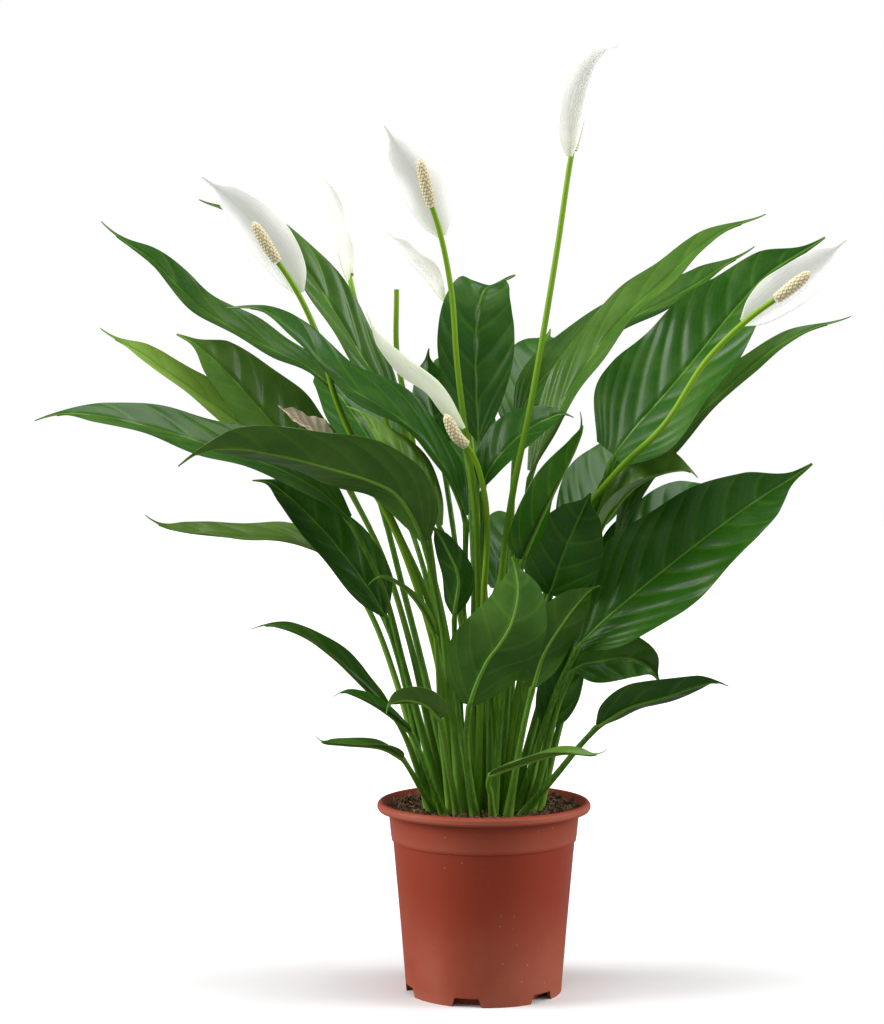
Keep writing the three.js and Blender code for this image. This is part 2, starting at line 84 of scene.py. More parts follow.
class LeafLook(bpy.types.PropertyGroup):
    """Sizes and colours of the leaves."""

    column_step: bpy.props.FloatProperty(name="Column step", default=0.0016, unit="LENGTH")
    row_step: bpy.props.FloatProperty(name="Row step", default=0.0021, unit="LENGTH")
    thickness: bpy.props.FloatProperty(name="Blade thickness", default=0.00045, unit="LENGTH")
    vein_spacing: bpy.props.FloatProperty(name="Vein spacing", default=0.0138, unit="LENGTH")
    vein_sweep: bpy.props.FloatProperty(name="Share of the blade a vein runs past", default=0.38)
    ripple: bpy.props.FloatProperty(name="Ripple between veins", default=0.0014, unit="LENGTH")
    wave: bpy.props.FloatProperty(name="Margin wave", default=0.0022, unit="LENGTH")
    wave_length: bpy.props.FloatProperty(name="Margin wave length", default=0.085, unit="LENGTH")
    groove: bpy.props.FloatProperty(name="Midrib groove", default=0.0011, unit="LENGTH")
    tip_narrowing: bpy.props.FloatProperty(name="Narrowing of the drip tip", default=0.66)
    tip_curl: bpy.props.FloatProperty(name="Curl of the drip tip", default=0.008, unit="LENGTH")
    stem_base: bpy.props.FloatProperty(name="Stalk radius at the soil", default=0.0042, unit="LENGTH")
    stem_top: bpy.props.FloatProperty(name="Stalk radius at the blade", default=0.0021, unit="LENGTH")
    rib_tip: bpy.props.FloatProperty(name="Midrib radius at the tip", default=0.0003, unit="LENGTH")
    dark: bpy.props.FloatVectorProperty(name="Old blade", subtype="COLOR", default=(0.014, 0.082, 0.001))
    fresh: bpy.props.FloatVectorProperty(name="Young blade", subtype="COLOR", default=(0.29, 0.50, 0.07))
    under: bpy.props.FloatVectorProperty(name="Underside", subtype="COLOR", default=(0.20, 0.33, 0.11))
    vein: bpy.props.FloatVectorProperty(name="Vein", subtype="COLOR", default=(0.14, 0.32, 0.02))
    stalk: bpy.props.FloatVectorProperty(name="Leaf stalk", subtype="COLOR", default=(0.021, 0.10, 0.001))


class FlowerLook(bpy.types.PropertyGroup):
    """Sizes and colours of the flowers."""

    across: bpy.props.IntProperty(name="Cells across the hood", default=28)
    row_step: bpy.props.FloatProperty(name="Row step", default=0.0016, unit="LENGTH")
    thickness: bpy.props.FloatProperty(name="Hood thickness", default=0.0005, unit="LENGTH")
    ribs: bpy.props.IntProperty(name="Hood veins on each side", default=7)
    rib_height: bpy.props.FloatProperty(name="Hood rib height", default=0.00036, unit="LENGTH")
    width: bpy.props.FloatProperty(name="Hood width, as a share of the packed one", default=0.88)
    slimness: bpy.props.FloatProperty(name="Spadix core, as a share of the packed one", default=0.74)
    knob_pitch: bpy.props.FloatProperty(name="Spadix knob pitch", default=0.0030, unit="LENGTH")
    knob_height: bpy.props.FloatProperty(name="Spadix knob height", default=0.0016, unit="LENGTH")
    white: bpy.props.FloatVectorProperty(name="Hood", subtype="COLOR", default=(0.80, 0.80, 0.76))
    green: bpy.props.FloatVectorProperty(name="Hood veins", subtype="COLOR", default=(0.50, 0.55, 0.34))
    withered: bpy.props.FloatVectorProperty(name="Dry hood", subtype="COLOR", default=(0.72, 0.62, 0.47))
    knob: bpy.props.FloatVectorProperty(name="Knob", subtype="COLOR", default=(0.80, 0.70, 0.44))
    gap: bpy.props.FloatVectorProperty(name="Between knobs", subtype="COLOR", default=(0.30, 0.25, 0.10))
    stalk: bpy.props.FloatVectorProperty(name="Flower stalk", subtype="COLOR", default=(0.050, 0.17, 0.004))
    stalk_top: bpy.props.FloatVectorProperty(name="Stalk top", subtype="COLOR", default=(0.26, 0.46, 0.020))


class PotLook(bpy.types.PropertyGroup):
    """Sizes and colours of the pot and the soil."""

    segments: bpy.props.IntProperty(name="Segments", default=144)
    mouth_radius: bpy.props.FloatProperty(name="Mouth radius", default=0.080, unit="LENGTH")
    collar_radius: bpy.props.FloatProperty(name="Collar radius", default=0.076, unit="LENGTH")
    step_radius: bpy.props.FloatProperty(name="Radius under the collar", default=0.072, unit="LENGTH")
    foot_radius: bpy.props.FloatProperty(name="Foot radius", default=0.062, unit="LENGTH")
    wall: bpy.props.FloatProperty(name="Wall", default=0.0018, unit="LENGTH")
    lip: bpy.props.FloatProperty(name="Lip height", default=0.008, unit="LENGTH")
    collar: bpy.props.FloatProperty(name="Collar height", default=0.020, unit="LENGTH")
    groove: bpy.props.FloatProperty(name="Foot groove height", default=0.010, unit="LENGTH")
    floor: bpy.props.FloatProperty(name="Floor thickness", default=0.003, unit="LENGTH")
    notches: bpy.props.IntProperty(name="Foot notches", default=6)
    notch_angle: bpy.props.FloatProperty(name="First notch", default=math.radians(-103.5))
    notch_foot: bpy.props.FloatProperty(name="Notch width at the foot", default=0.025, unit="LENGTH")
    notch_top: bpy.props.FloatProperty(name="Notch width at its top", default=0.019, unit="LENGTH")
    notch_height: bpy.props.FloatProperty(name="Notch height", default=0.007, unit="LENGTH")
    crumbs: bpy.props.IntProperty(name="Soil crumbs", default=1700)
    fibres: bpy.props.IntProperty(name="Soil fibres", default=110)
    plastic: bpy.props.FloatVectorProperty(name="Plastic", subtype="COLOR", default=(0.28, 0.032, 0.010))
    # Paler plastic for scuffs, wear, the paler foot and the painted highlight lines at the rim and the
    # collar step.
    worn_and_highlit: bpy.props.FloatVectorProperty(name="Worn and highlit plastic", subtype="COLOR", default=(0.54, 0.18, 0.11))
    soil_dark: bpy.props.FloatVectorProperty(name="Soil", subtype="COLOR", default=(0.060, 0.028, 0.011))
    soil_pale: bpy.props.FloatVectorProperty(name="Soil fibre", subtype="COLOR", default=(0.34, 0.20, 0.105))


class StudioLook(bpy.types.PropertyGroup):
    """Lamps, floor, backdrop and camera. The fill is what the floor and backdrop send to the plant."""

    left: bpy.props.FloatProperty(name="Left lamp", default=3.2)
    right: bpy.props.FloatProperty(name="Right lamp", default=2.3)
    top: bpy.props.FloatProperty(name="Top lamp", default=2.3)
    front: bpy.props.FloatProperty(name="Front lamp", default=0.4)
    backdrop_fill: bpy.props.FloatProperty(name="Backdrop fill", default=0.18)
    floor_fill: bpy.props.FloatProperty(name="Floor fill", default=0.22)
    floor_seen: bpy.props.FloatProperty(name="Floor as seen", default=0.94)
    floor_size: bpy.props.FloatProperty(name="Floor size", default=14, unit="LENGTH")
    camera: bpy.props.FloatVectorProperty(name="Camera", subtype="XYZ", default=(-0.0334, -1.9, 0.470))
    pitch: bpy.props.FloatProperty(name="Camera's tilt down", default=math.radians(2.65))
    lens: bpy.props.FloatProperty(name="Lens in millimetres", default=84.3)


class PeaceLilySettings(bpy.types.PropertyGroup):
    """All settings of the add-on."""

    leaf: bpy.props.PointerProperty(type=LeafLook)
    flower: bpy.props.PointerProperty(type=FlowerLook)
    pot: bpy.props.PointerProperty(type=PotLook)
    studio: bpy.props.PointerProperty(type=StudioLook)


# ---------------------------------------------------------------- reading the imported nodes

def node_points(name):
    """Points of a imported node, with corners in one place joined, and each point's neighbours."""
    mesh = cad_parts[name].data
    coords = np.empty(len(mesh.vertices) * 3)
    mesh.vertices.foreach_get("co", coords)
    coords = coords.reshape(-1, 3)
    _, first, owner = np.unique(
        np.round(coords / MERGE).astype(int), axis=0, return_index=True, return_inverse=True
    )
    owner = owner.ravel()
    neighbours = [set() for _ in first]
    for edge in mesh.edges:
        a, b = owner[edge.vertices[0]], owner[edge.vertices[1]]
        if a != b:
            neighbours[a].add(b)
            neighbours[b].add(a)
    return coords[first], neighbours


def node_rings(name, from_lowest=True):
    """The rings of six points that a grown node's skin runs over, from its base to its tip."""
    points, neighbours = node_points(name)
    if from_lowest:
        seed = points[points[:, 2].argmin()]
    else:
        far = points[np.linalg.norm(points - points.mean(axis=0), axis=1).argmax()]
        other = points[np.linalg.norm(points - far, axis=1).argmax()]
        seed = min(far, other, key=lambda point: point[2])
    ring = list(np.argsort(np.linalg.norm(points - seed, axis=1))[:RING_POINTS])
    rings, seen = [], set()
    while ring:
        rings.append(points[ring])
        seen.update(ring)
        ring = sorted({near for point in ring for near in neighbours[point]} - seen)
    return rings


def blade_section(ring, tangent):
    """Centre, width direction, upper direction, half width and margin rise of one blade ring."""
    gaps = np.linalg.norm(ring[:, None] - ring[None], axis=2)
    a, b = np.unravel_index(gaps.argmax(), gaps.shape)
    ribs = [i for i in range(RING_POINTS) if i not in (a, b)]
    centre = ring[ribs].mean(axis=0)
    up = (ring[a] + ring[b]) / 2 - centre
    rise = np.linalg.norm(up)
    side = ring[b] - ring[a]
    half = np.linalg.norm(side) / 2
    if np.dot(np.cross(tangent, side), up) < 0:
        side = -side
    side = unit(side - np.dot(side, tangent) * tangent)
    return centre, side, np.cross(tangent, side), half, rise


def unit(vectors):
    """Vectors of length one."""
    return vectors / np.linalg.norm(vectors, axis=-1, keepdims=True)


def ease(share):
    """A share from 0 to 1 that starts and ends gently."""
    return share**2 * (3 - 2 * share)


def along(points):
    """Distance from the first point to each point, along them."""
    steps = np.linalg.norm(np.diff(points, axis=0), axis=1)
    return np.concatenate([[0.0], np.cumsum(steps)])


def smooth(knots, values, at):
    """Values on a smooth curve through the knots."""
    knots, values, at = np.asarray(knots), np.asarray(values), np.asarray(at)
    slopes = np.gradient(values, knots, axis=0)
    i = np.clip(np.searchsorted(knots, at) - 1, 0, len(knots) - 2)
    span = knots[i + 1] - knots[i]
    t = (at - knots[i]) / span
    if values.ndim == 2:
        span, t = span[:, None], t[:, None]
    return (
        (2 * t**3 - 3 * t**2 + 1) * values[i]
        + (t**3 - 2 * t**2 + t) * span * slopes[i]
        + (3 * t**2 - 2 * t**3) * values[i + 1]
        + (t**3 - t**2) * span * slopes[i + 1]
    )


class Blade:
    """The run of a blade: centre line, directions and half width, at any places along it."""

    def __init__(self, rings, tip_curl=0.0):
        self.tip_curl = tip_curl
        centres = np.array([ring.mean(axis=0) for ring in rings])
        tangents = unit(np.gradient(centres, axis=0))
        sections = [blade_section(ring, tangent) for ring, tangent in zip(rings, tangents)]
        self.centres, self.sides, self.ups, self.halves, self.rises = map(np.array, zip(*sections))
        self.knots = along(self.centres)
        self.length = self.knots[-1]

    def at(self, distances):
        """Centre, width direction, upper direction, half width and margin rise at those distances."""
        centre = smooth(self.knots, self.centres, distances)
        side = unit(smooth(self.knots, self.sides, distances))
        up = smooth(self.knots, self.ups, distances)
        up = unit(up - (up * side).sum(axis=1, keepdims=True) * side)
        tip = np.clip((distances / self.length - 0.86) / 0.14, 0, 1)
        centre = centre + up * (self.tip_curl * tip**2)[:, None]
        half = np.maximum(smooth(self.knots, self.halves, distances), 0.0)
        fold = smooth(self.knots, self.rises / self.halves, distances)
        return centre, side, up, half, fold


# ---------------------------------------------------------------- mesh helpers

def active():
    """The object that the last operator made."""
    return bpy.context.view_layer.objects.active


def edit(*steps):
    """Runs edit-mode operators over the whole active mesh."""
    bpy.ops.object.mode_set(mode="EDIT")
    bpy.ops.mesh.select_all(action="SELECT")
    for step in steps:
        step()
    bpy.ops.object.mode_set(mode="OBJECT")


def modify(obj, kind, **values):
    """Adds a modifier, sets it and applies it."""
    modifier = obj.modifiers.new(kind.title(), kind)
    for key, value in values.items():
        setattr(modifier, key, value)
    bpy.context.view_layer.objects.active = obj
    bpy.ops.object.modifier_apply(modifier=modifier.name)


def set_points(obj, points):
    """Moves the points of a mesh."""
    obj.data.vertices.foreach_set("co", np.asarray(points, dtype=np.float32).ravel())
    obj.data.update()


def get_points(obj):
    """The points of a mesh, as an array."""
    points = np.empty(len(obj.data.vertices) * 3)
    obj.data.vertices.foreach_get("co", points)
    return points.reshape(-1, 3)


def note(obj, name, values):
    """Stores a number or a vector for each point, for the material to read."""
    values = np.asarray(values, dtype=np.float32)
    kind = "FLOAT_VECTOR" if values.ndim == 2 else "FLOAT"
    field = "vector" if values.ndim == 2 else "value"
    obj.data.attributes.new(name, kind, "POINT").data.foreach_set(field, values.ravel())


def unit_grid(columns, rows):
    """A flat grid, with each point's column and row place from 0 to 1."""
    bpy.ops.mesh.primitive_grid_add(x_subdivisions=columns, y_subdivisions=rows, size=2)
    obj = active()
    points = get_points(obj)
    return obj, (points[:, 0] + 1) / 2, (points[:, 1] + 1) / 2


def tube(centres, radii, sides, bump=None):
    """A closed skin round a centre line. `bump` gives extra radius from the turn and the row places."""
    obj, turn, row = unit_grid(sides, len(centres) - 1)
    index = np.round(row * (len(centres) - 1)).astype(int)
    tangents = unit(np.gradient(centres, axis=0))
    side = unit(np.cross(tangents[0], (0.31, 0.95, 0.1)))
    sides_at = []
    for tangent in tangents:
        side = unit(side - np.dot(side, tangent) * tangent)
        sides_at.append(side)
    sides_at = np.array(sides_at)
    others = np.cross(tangents, sides_at)
    angle = turn * 2 * math.pi
    radius = np.asarray(radii)[index]
    if bump is not None:
        radius = radius + bump(turn, row)
    outward = sides_at[index] * np.cos(angle)[:, None] + others[index] * np.sin(angle)[:, None]
    set_points(obj, np.asarray(centres)[index] + outward * radius[:, None])
    return obj, turn, row


def close_tube(obj):
    """Joins a tube's seam, fills its ends and turns its faces out."""
    bpy.context.view_layer.objects.active = obj
    edit(
        lambda: bpy.ops.mesh.remove_doubles(threshold=SEAM),
        lambda: bpy.ops.mesh.fill_holes(sides=0),
        lambda: bpy.ops.mesh.normals_make_consistent(inside=False),
    )


def join(pieces, name):
    """One object out of several."""
    bpy.ops.object.select_all(action="DESELECT")
    for piece in pieces:
        piece.select_set(True)
    bpy.context.view_layer.objects.active = pieces[0]
    if len(pieces) > 1:
        bpy.ops.object.join()
    obj = active()
    obj.name = obj.data.name = name
    return obj


def finish_piece(obj, nodes=(), angle=60):
    """Shades a piece, puts it on its body and hides the imported nodes it stands for."""
    bpy.ops.object.select_all(action="DESELECT")
    obj.select_set(True)
    bpy.context.view_layer.objects.active = obj
    bpy.ops.object.shade_smooth_by_angle(angle=math.radians(angle))
    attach(obj, BODY)
    if nodes:
        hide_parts(*nodes)


def chance(name, salt=0):
    """A source of random numbers that is always the same for a name."""
    return np.random.default_rng(sum(ord(c) * (i + 1) for i, c in enumerate(name)) + 7919 * salt)


# ---------------------------------------------------------------- materials

class Tree:
    """A short way to write node trees."""

    def __init__(self, tree):
        self.tree = tree

    def add(self, kind, inputs=None, **settings):
        made = self.tree.nodes.new("ShaderNode" + kind)
        for key, value in settings.items():
            setattr(made, key, value)
        for key, value in (inputs or {}).items():
            if isinstance(value, bpy.types.NodeSocket):
                self.tree.links.new(value, made.inputs[key])
            else:
                made.inputs[key].default_value = value
        return made

    def math(self, operation, a, b=0.0, clamp=False):
        return self.add("Math", {0: a, 1: b}, operation=operation, use_clamp=clamp).outputs[0]

    def mix(self, factor, a, b):
        made = self.add("Mix", data_type="RGBA")
        for key, value in ((0, factor), (6, a), (7, b)):
            if isinstance(value, bpy.types.NodeSocket):
                self.tree.links.new(value, made.inputs[key])
            else:
                made.inputs[key].default_value = value if key == 0 else (*value, 1.0)
        return made.outputs[2]

    def ramp(self, value, low, high, out_low=0.0, out_high=1.0):
        made = self.add(
            "MapRange", {0: value, 1: low, 2: high, 3: out_low, 4: out_high},
            interpolation_type="SMOOTHSTEP",
        )
        return made.outputs[0]

    def noise(self, vector, scale, detail=4.0, roughness=0.55):
        made = self.add("TexNoise", {"Vector": vector, "Scale": scale, "Detail": detail,
                                     "Roughness": roughness})
        return made.outputs["Fac"]


def new_group(name, inputs, outputs):
    """An empty shader group with those sockets."""
    group = bpy.data.node_groups.new(name, "ShaderNodeTree")
    for label, kind in inputs:
        group.interface.new_socket(label, in_out="INPUT", socket_type=kind)
    for label, kind in outputs:
        group.interface.new_socket(label, in_out="OUTPUT", socket_type=kind)
    tree = Tree(group)
    return group, tree, tree.tree.nodes.new("NodeGroupInput"), tree.tree.nodes.new("NodeGroupOutput")


def new_material(name):
    """A material with a principled shader, and its tree."""
    material = bpy.data.materials.new(name)
    material.use_nodes = True
    tree = Tree(material.node_tree)
    shader = next(n for n in material.node_tree.nodes if n.type == "BSDF_PRINCIPLED")
    return material, tree, shader


def plant_group():
    """Shared by every grown surface: its colour with veins and mottling, its gloss and its relief.

    The attribute "vein" holds the distance from the midrib in millimetres, the number of side veins
    passed, and the place along the blade. "tint" is 0 on an old blade and 1 on a young one.
    """
    name = "Grown surface"
    if name in bpy.data.node_groups:
        return bpy.data.node_groups[name]
    group, tree, given, out = new_group(
        name,
        [("Old", "NodeSocketColor"), ("Young", "NodeSocketColor"), ("Vein", "NodeSocketColor"),
         ("Vein strength", "NodeSocketFloat"), ("Midrib strength", "NodeSocketFloat"),
         ("Gloss", "NodeSocketFloat"), ("Vein width", "NodeSocketFloat"), ("Streaks", "NodeSocketFloat")],
        [("Color", "NodeSocketColor"), ("Roughness", "NodeSocketFloat"), ("Height", "NodeSocketFloat")],
    )
    place = tree.add("TexCoord").outputs["Object"]
    vein = tree.add("SeparateXYZ", {0: tree.add("Attribute", attribute_name="vein").outputs["Vector"]})
    tint = tree.add("Attribute", attribute_name="tint").outputs["Fac"]
    across = tree.math("ABSOLUTE", vein.outputs[0])
    broad = tree.noise(place, 28.0, 3.0)
    fine = tree.noise(place, 420.0, 2.0, 0.5)
    grain = tree.add("Mapping", {"Vector": place, "Scale": (620.0, 620.0, 24.0)}).outputs[0]
    streak = tree.ramp(tree.noise(grain, 1.0, 3.0), 0.4, 0.68)
    streak = tree.math("MULTIPLY", streak, given.outputs["Streaks"])
    midrib = tree.ramp(across, 0.25, 1.2, 1.0, 0.0)
    side = tree.math("ABSOLUTE", tree.math("SUBTRACT", tree.math("FRACT", vein.outputs[1]), 0.5))
    side = tree.ramp(tree.math("SUBTRACT", 0.5, side), 0.0, given.outputs["Vein width"], 1.0, 0.0)
    third = tree.math("FRACT", tree.math("MULTIPLY", vein.outputs[1], 5.0))
    third = tree.ramp(tree.math("ABSOLUTE", tree.math("SUBTRACT", third, 0.5)), 0.0, 0.25, 1.0, 0.0)
    lines = tree.math("MAXIMUM", side, tree.math("MULTIPLY", third, 0.22))
    lines = tree.math("MULTIPLY", lines, given.outputs["Vein strength"])
    lines = tree.math("MAXIMUM", lines, tree.math("MULTIPLY", midrib, given.outputs["Midrib strength"]))
    shade = tree.math("ADD", tint, tree.ramp(broad, 0.35, 0.75, -0.05, 0.06), clamp=True)
    body = tree.mix(shade, given.outputs["Old"], given.outputs["Young"])
    body = tree.mix(tree.ramp(fine, 0.45, 0.75, 0.0, 0.05), body, given.outputs["Vein"])
    body = tree.mix(streak, body, given.outputs["Vein"])
    colour = tree.mix(lines, body, given.outputs["Vein"])
    rough = tree.math("ADD", given.outputs["Gloss"], tree.ramp(broad, 0.3, 0.7, -0.05, 0.07))
    rough = tree.math("ADD", rough, tree.ramp(fine, 0.3, 0.7, -0.03, 0.05), clamp=True)
    height = tree.math("ADD", tree.math("MULTIPLY", lines, -0.6), tree.math("MULTIPLY", fine, 0.12))
    for socket, value in zip(out.inputs, (colour, rough, height)):
        tree.tree.links.new(value, socket)
    return group


def grown_material(name, old, young, vein, strengths, gloss, coat=0.0, width=0.09, relief=0.35,
                   glow=0.0, glow_colour=(0.3, 0.6, 0.1), streaks=0.0):
    """A leaf, stalk or hood surface: `strengths` are those of the side veins and the midrib."""
    if name in bpy.data.materials:
        return bpy.data.materials[name]
    material, tree, shader = new_material(name)
    group = tree.add("Group", node_tree=plant_group())
    for label, colour in (("Old", old), ("Young", young), ("Vein", vein)):
        group.inputs[label].default_value = (*colour, 1.0)
    group.inputs["Vein strength"].default_value = strengths[0]
    group.inputs["Midrib strength"].default_value = strengths[1]
    group.inputs["Gloss"].default_value = gloss
    group.inputs["Vein width"].default_value = width
    group.inputs["Streaks"].default_value = streaks
    bump = tree.add("Bump", {"Height": group.outputs["Height"], "Strength": relief,
                             "Distance": RELIEF_DEPTH})
    links = material.node_tree.links
    links.new(group.outputs["Color"], shader.inputs["Base Color"])
    links.new(group.outputs["Roughness"], shader.inputs["Roughness"])
    links.new(bump.outputs["Normal"], shader.inputs["Normal"])
    shader.inputs["Coat Weight"].default_value = coat
    shader.inputs["Coat Roughness"].default_value = COAT_ROUGHNESS
    shader.inputs["Specular IOR Level"].default_value = GROWN_SPECULAR
    if glow:
        links.new(group.outputs["Color"], shader.inputs["Emission Color"])
        shader.inputs["Emission Strength"].default_value = HOOD_LIGHT
        shader.inputs["Subsurface Weight"].default_value = glow
        shader.inputs["Subsurface Radius"].default_value = glow_colour
        shader.inputs["Subsurface Scale"].default_value = HOOD_SCATTER
    return material


def leaf_materials(look):
    """Upper face, underside and stalk of a leaf."""
    return [
        grown_material("leaf_upper", look.dark, look.fresh, look.vein, (0.16, 0.6), 0.40, coat=0.15,
                       width=0.12),
        grown_material("leaf_under", look.under, look.fresh, look.vein, (0.6, 0.9), 0.55, width=0.2),
        grown_material("leaf_stalk", look.stalk, look.fresh, look.vein, (0.0, 0.0), 0.50,
                       streaks=0.5),
    ]


def spadix_material(look):
    """Cream knobs with darker green-brown between them."""
    material, tree, shader = new_material("spadix")
    knob = tree.add("Attribute", attribute_name="knob").outputs["Fac"]
    place = tree.add("TexCoord").outputs["Object"]
    grain = tree.noise(place, 900.0, 4.0)
    colour = tree.mix(tree.ramp(knob, 0.12, 0.55), look.gap, look.knob)
    colour = tree.mix(tree.ramp(grain, 0.5, 0.8, 0.0, 0.35), colour, (0.92, 0.88, 0.74))
    bump = tree.add("Bump", {"Height": grain, "Strength": 0.3, "Distance": 0.0003})
    links = material.node_tree.links
    links.new(colour, shader.inputs["Base Color"])
    links.new(tree.ramp(grain, 0.3, 0.7, 0.5, 0.68), shader.inputs["Roughness"])
    links.new(bump.outputs["Normal"], shader.inputs["Normal"])
    return material


def plastic_material(look):
    """Moulded nursery-pot plastic: dull and scuffed, paler and rougher towards the foot, worn at the foot's
    edge, with painted highlight lines along the rim and the step under the collar.
    """
    material, tree, shader = new_material("pot_plastic")
    place = tree.add("TexCoord").outputs["Object"]
    height = tree.add("SeparateXYZ", {0: place}).outputs[2]
    # The edge attribute brings in painted highlight lines at the rim and the collar step, and wear at the
    # foot.
    worn_and_highlit = tree.add("Attribute", attribute_name="edge").outputs["Fac"]
    cloud = tree.noise(place, 16.0, 4.0)
    grain = tree.noise(place, 1500.0, 3.0)
    stretched = tree.add("Mapping", {"Vector": place, "Scale": (60.0, 60.0, 620.0)}).outputs[0]
    scuff = tree.noise(stretched, 1.0, 6.0, 0.7)
    speck = tree.add("TexVoronoi", {"Vector": place, "Scale": 130.0}).outputs["Distance"]
    speck = tree.math("MULTIPLY", tree.ramp(speck, 0.03, 0.09, 1.0, 0.0), tree.ramp(cloud, 0.5, 0.62))
    # Paler and rougher plastic towards the foot, in patches.
    paler_towards_foot = tree.ramp(height, 0.0, 0.095, 0.38, 0.05)
    paler_towards_foot = tree.math("MULTIPLY", paler_towards_foot, tree.ramp(cloud, 0.3, 0.7, 0.6, 1.25))
    colour = tree.mix(paler_towards_foot, look.plastic, look.worn_and_highlit)
    colour = tree.mix(tree.ramp(scuff, 0.62, 0.8, 0.0, 0.35), colour, look.worn_and_highlit)
    colour = tree.mix(tree.math("MULTIPLY", worn_and_highlit, 0.35), colour, look.worn_and_highlit)
    colour = tree.mix(tree.math("MULTIPLY", speck, 0.55), colour, (0.72, 0.52, 0.44))
    rough = tree.math("ADD", tree.ramp(cloud, 0.3, 0.7, 0.40, 0.50), tree.math("MULTIPLY", paler_towards_foot, 0.3))
    relief = tree.math("ADD", grain, tree.math("MULTIPLY", scuff, 0.4))
    bump = tree.add("Bump", {"Height": relief, "Strength": 0.12, "Distance": 0.0003})
    links = material.node_tree.links
    links.new(colour, shader.inputs["Base Color"])
    links.new(rough, shader.inputs["Roughness"])
    links.new(bump.outputs["Normal"], shader.inputs["Normal"])
    shader.inputs["Specular IOR Level"].default_value = PLASTIC_SPECULAR
    return material


def soil_material(name, dark, pale, share):
    """Peat or fibre: `share` of it is pale."""
    material, tree, shader = new_material(name)
    place = tree.add("TexCoord").outputs["Object"]
    clumps = tree.noise(place, 170.0, 6.0, 0.7)
    grain = tree.noise(place, 1100.0, 4.0, 0.7)
    colour = tree.mix(tree.ramp(clumps, 0.42, 0.72, 0.0, share), dark, pale)
    colour = tree.mix(tree.ramp(grain, 0.6, 0.75, 0.0, share), colour, pale)
    relief = tree.math("ADD", clumps, tree.math("MULTIPLY", grain, 0.5))
    bump = tree.add("Bump", {"Height": relief, "Strength": 0.8, "Distance": 0.0012})
    links = material.node_tree.links
    links.new(colour, shader.inputs["Base Color"])
    links.new(tree.ramp(grain, 0.3, 0.7, 0.82, 0.98), shader.inputs["Roughness"])
    links.new(bump.outputs["Normal"], shader.inputs["Normal"])
    return material


# ---------------------------------------------------------------- leaves

# How young, and so how pale, a leaf is, where it isn't fully grown and dark.
YOUNG = {
    "leaf_pale_left": 1.0, "leaf_side_left": 0.42, "leaf_pale_ribbed": 0.34, "leaf_small_right": 0.06,
    "leaf_slender_left": 0.3, "leaf_long_arch": 0.09, "leaf_tall_right": 0.17, "leaf_slender_right": 0.1,
    "leaf_folded_right": 0.28, "leaf_tall_back_right": 0.07, "leaf_wide_left": 0.2,
    "leaf_front_low": 0.24, "leaf_lowest_left": 0.12, "leaf_far_left": 0.06, "leaf_front_middle": 0.07,
    "leaf_front_left": 0.16, "leaf_front_right": 0.12, "leaf_front_small": 0.2,
    "leaf_upper_left": 0.05, "leaf_low_left": 0.06, "leaf_dark_right": 0.03,
}
# How strongly a leaf is rippled between its side veins, where it isn't 1.
RIPPLED = {
    "leaf_tall_right": 1.5, "leaf_pale_ribbed": 1.7, "leaf_front_left": 1.4, "leaf_big_right": 1.3,
    "leaf_broad_right": 0.8, "leaf_long_arch": 1.4, "leaf_front_middle": 0.4, "leaf_front_right": 0.7,
    "leaf_dark_right": 0.6, "leaf_front_small": 0.5, "leaf_twisted": 0.7,
}


def leaf_blade(name, blade, look):
    """The thin blade: rippled between its side veins, grooved at the midrib and waved at its margins."""
    widest = blade.halves.max()
    rows = max(24, int(blade.length / look.row_step))
    obj, column, row = unit_grid(2 * int(widest / look.column_step) + 4, rows)
    v = 1 - 2 * column
    distance = row * blade.length
    centre, side, up, half, fold = blade.at(distance)
    rng = chance(name)
    start, turn = rng.uniform(0, math.tau, 2)
    ends = np.clip(np.sin(math.pi * row), 0, 1) ** 0.5
    edge = np.abs(v)
    tip = np.clip((row - 0.80) / 0.15, 0, 1)
    half = half * (1 - look.tip_narrowing * ease(tip))
    swept = look.vein_sweep * edge**1.25
    count = 1 / (look.vein_spacing * math.hypot(VEINS_ACROSS / widest, VEINS_ALONG / blade.length))
    passed = count * (row - swept) / (1 - swept)
    bulge = np.abs(np.sin(math.pi * passed)) ** 0.8 - 0.5
    inside = np.clip(np.sin(math.pi * np.clip(edge, 0, 1) ** 0.8), 0, 1) ** 0.5
    ripple = look.ripple * RIPPLED.get(name, 1.0) * bulge * inside * ends * np.minimum(1, half / 0.012)
    phase = distance / look.wave_length * math.tau + np.where(v > 0, start, turn)
    wave = look.wave * (half / 0.03) * edge**2.6 * np.sin(phase) * ends
    gutter = -look.groove * np.exp(-((v * half / 0.0017) ** 2)) * ends
    lift = fold * half * edge**1.25
    points = centre + side * (v * half)[:, None] + up * (lift + ripple + wave + gutter)[:, None]
    set_points(obj, points)
    note(obj, "vein", np.column_stack([v * half * 1000, passed, row]))
    note(obj, "tint", np.full(len(row), YOUNG.get(name, 0.0) + rng.uniform(0, 0.03)))
    modify(obj, "SOLIDIFY", thickness=look.thickness, offset=-1.0, material_offset=1,
           material_offset_rim=1)
    return obj


